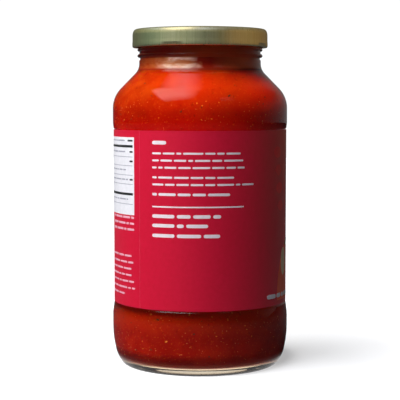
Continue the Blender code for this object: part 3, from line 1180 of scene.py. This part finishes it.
# What the lid shows of the ceiling at each azimuth
CEILING = (
    (-180.0, (0.3, 0.3, 0.25)),
    (-150.0, (0.35, 0.4, 0.4)),
    (-98.0, (0.8, 1.05, 1.4)),
    (-54.0, (1.5, 1.8, 2.8)),
    (-18.0, (1.55, 1.8, 3.2)),
    (18.0, (0.6, 0.72, 1.0)),
    (60.0, (0.3, 0.3, 0.3)),
    (180.0, (0.3, 0.3, 0.25)),
)
# What the clear glass shows of the room at each azimuth, level with it and well above it
DIM_ROOM = (
    (-180.0, 0.18, 0.18),
    (-165.0, 0.06, 0.04),
    (-150.0, 0.02, 0.02),
    (70.0, 0.02, 0.02),
    (90.0, 0.055, 0.02),
    (107.0, 0.1, 0.02),
    (118.0, 0.13, 0.025),
    (135.0, 0.17, 0.05),
    (148.0, 0.2, 0.15),
    (180.0, 0.18, 0.18),
)
# What lights the scene besides the lamp, the whitest value in the tables above, and the
# white behind the jar
FILL = 0.03
BRIGHTEST = 3.2
BACKDROP = 1.05


def make_world():
    """Plain surroundings, told apart for diffuse, rough, sharp, refracted and camera rays."""
    world = bpy.data.worlds.new("studio")
    bpy.context.scene.world = world
    world.use_nodes = True
    sky = Nodes(world.node_tree)
    split = sky.node("ShaderNodeSeparateXYZ")
    sky.link(sky.node("ShaderNodeTexCoord").outputs["Generated"], split.inputs[0])
    up = split.outputs["Z"]
    forward = sky.node("ShaderNodeMath", operation="MULTIPLY")
    forward.inputs[1].default_value = -1.0
    sky.link(split.outputs["Y"], forward.inputs[0])
    turn = sky.node("ShaderNodeMath", operation="ARCTAN2")
    sky.link(split.outputs["X"], turn.inputs[0])
    sky.link(forward.outputs[0], turn.inputs[1])
    round_share = sky.span(turn.outputs[0], -math.pi, math.pi)

    def around(stops):
        """The colour at each azimuth, as a share of the brightest."""
        places = [azimuth / 360.0 + 0.5 for azimuth, _ in stops]
        shares = [tuple(value / BRIGHTEST for value in colour) for _, colour in stops]
        return sky.ramp(round_share, *zip(places, shares))

    def light(colour, strength):
        made = sky.node("ShaderNodeBackground")
        made.inputs["Strength"].default_value = strength
        if isinstance(colour, tuple):
            made.inputs["Color"].default_value = (*colour, 1.0)
        else:
            sky.link(colour, made.inputs["Color"])
        return made.outputs[0]

    walls = sky.mix(
        sky.span(up, 0.1, 0.3),
        around([(azimuth, low) for azimuth, low, _ in ROOM]),
        around([(azimuth, high) for azimuth, _, high in ROOM]),
    )
    room = sky.mix(sky.span(up, 0.5, 0.65), walls, around(CEILING))
    dim = sky.mix(
        sky.span(up, 0.2, 0.4),
        around([(azimuth, (low, low, low)) for azimuth, low, _ in DIM_ROOM]),
        around([(azimuth, (high, high, high)) for azimuth, _, high in DIM_ROOM]),
    )
    path = sky.node("ShaderNodeLightPath")
    shine = light(sky.mix(path.outputs["Is Singular Ray"], room, dim), BRIGHTEST)
    fill = light((1.0, 0.97, 0.95), FILL)
    backdrop = light((1.0, 1.0, 1.0), BACKDROP)
    warm_backdrop = light((1.0, 0.95, 0.85), BACKDROP)
    lit = sky.either(path.outputs["Is Diffuse Ray"], shine, fill)
    through = sky.either(path.outputs["Is Transmission Ray"], lit, warm_backdrop)
    seen = sky.either(path.outputs["Is Camera Ray"], through, backdrop)
    sky.link(seen, sky.tree.nodes["World Output"].inputs["Surface"])


# How much of white the floor glows with, by distance in metres from a point in its shade; it glows
# less near the jar, a painted shadow that deepens the one the key casts
SHADE_POINT = (0.0, 20.0 * MM, 0.0)
WHITE = 1.1
FLOOR_GLOW_AND_SHADOW = (
    (0.045, 0.37),
    (0.049, 0.48),
    (0.053, 0.55),
    (0.0575, 0.55),
    (0.065, 0.53),
    (0.08, 0.5),
    (0.1, 0.49),
    (0.15, 0.62),
    (0.25, 0.9),
    (0.5, 1.0),
)


def floor_look():
    """White to the camera where no shadow falls, though it throws little light back."""
    look = Look("pale_floor", 0.9)
    path = look.node("ShaderNodeLightPath")
    camera = path.outputs["Is Camera Ray"]
    through = path.outputs["Is Transmission Ray"]
    glossy = path.outputs["Is Glossy Ray"]
    bounced = path.outputs["Is Diffuse Ray"]
    singular = path.outputs["Is Singular Ray"]
    away = look.node("ShaderNodeVectorMath", operation="DISTANCE")
    look.link(look.place, away.inputs[0])
    away.inputs[1].default_value = SHADE_POINT
    far = away.outputs["Value"]
    grain = look.span(look.noise(30.0, 2.0), 0.3, 0.7, 0.46, 0.475)
    bounce = look.span(far, 0.05, 0.13, 0.18, 0.05)
    diffuse = look.node("ShaderNodeBsdfDiffuse")
    look.link(
        look.summed((camera, grain), (through, 0.2), (bounced, bounce), (glossy, 0.04)),
        diffuse.inputs["Color"],
    )
    # Painted shadow: the glow is lower near the jar, which deepens the shadow the key casts there
    widest = FLOOR_GLOW_AND_SHADOW[-1][0]
    glow = look.ramp(
        look.span(far, 0.0, widest),
        *((distance / widest, (level, level, level)) for distance, level in FLOOR_GLOW_AND_SHADOW),
    )
    glow = look.span(glow, 0.0, 1.0, 0.0, WHITE)
    # The heel of the jar mirrors the floor under it, and the lid the floor round it
    beside = look.node("ShaderNodeVectorMath", operation="LENGTH")
    look.link(look.place, beside.inputs[0])
    radius = beside.outputs["Value"]
    under = look.span(radius, 42.0 * MM, 46.0 * MM, 0.62, 0.1)
    near = look.product(under, look.span(radius, 46.0 * MM, 51.0 * MM, 1.0, 0.0))
    sharp = look.product(glossy, singular)
    rough = look.product(glossy, look.span(singular, 0.0, 1.0, 1.0, 0.0))
    white = look.node("ShaderNodeEmission")
    look.link(
        look.summed((camera, glow), (through, 1.0), (sharp, near), (rough, 0.06)),
        white.inputs["Strength"],
    )
    both = look.node("ShaderNodeAddShader")
    look.link(diffuse.outputs[0], both.inputs[0])
    look.link(white.outputs[0], both.inputs[1])
    look.finish(both.outputs[0])
    return look.material


def make_floor():
    bm = bmesh.new()
    bmesh.ops.create_grid(bm, x_segments=8, y_segments=8, size=2.5)
    floor = finish_mesh(bm, "floor", floor_look())


def make_camera():
    data = bpy.data.cameras.new("camera")
    data.lens = CAMERA_LENS
    data.clip_start = 0.01
    camera = bpy.data.objects.new("camera", data)
    camera.location = (0.0, -CAMERA_DISTANCE, CAMERA_HEIGHT)
    camera.rotation_euler = (math.radians(90.0 - CAMERA_TILT), 0.0, 0.0)
    bpy.context.scene.collection.objects.link(camera)
    bpy.context.scene.camera = camera


make_camera()
make_glass()
make_sauce()
make_film()
make_all_bits()
make_lid()
make_label()
make_print()
make_floor()
make_lights()
make_world()
bpy.context.scene.view_settings.view_transform = "Standard"
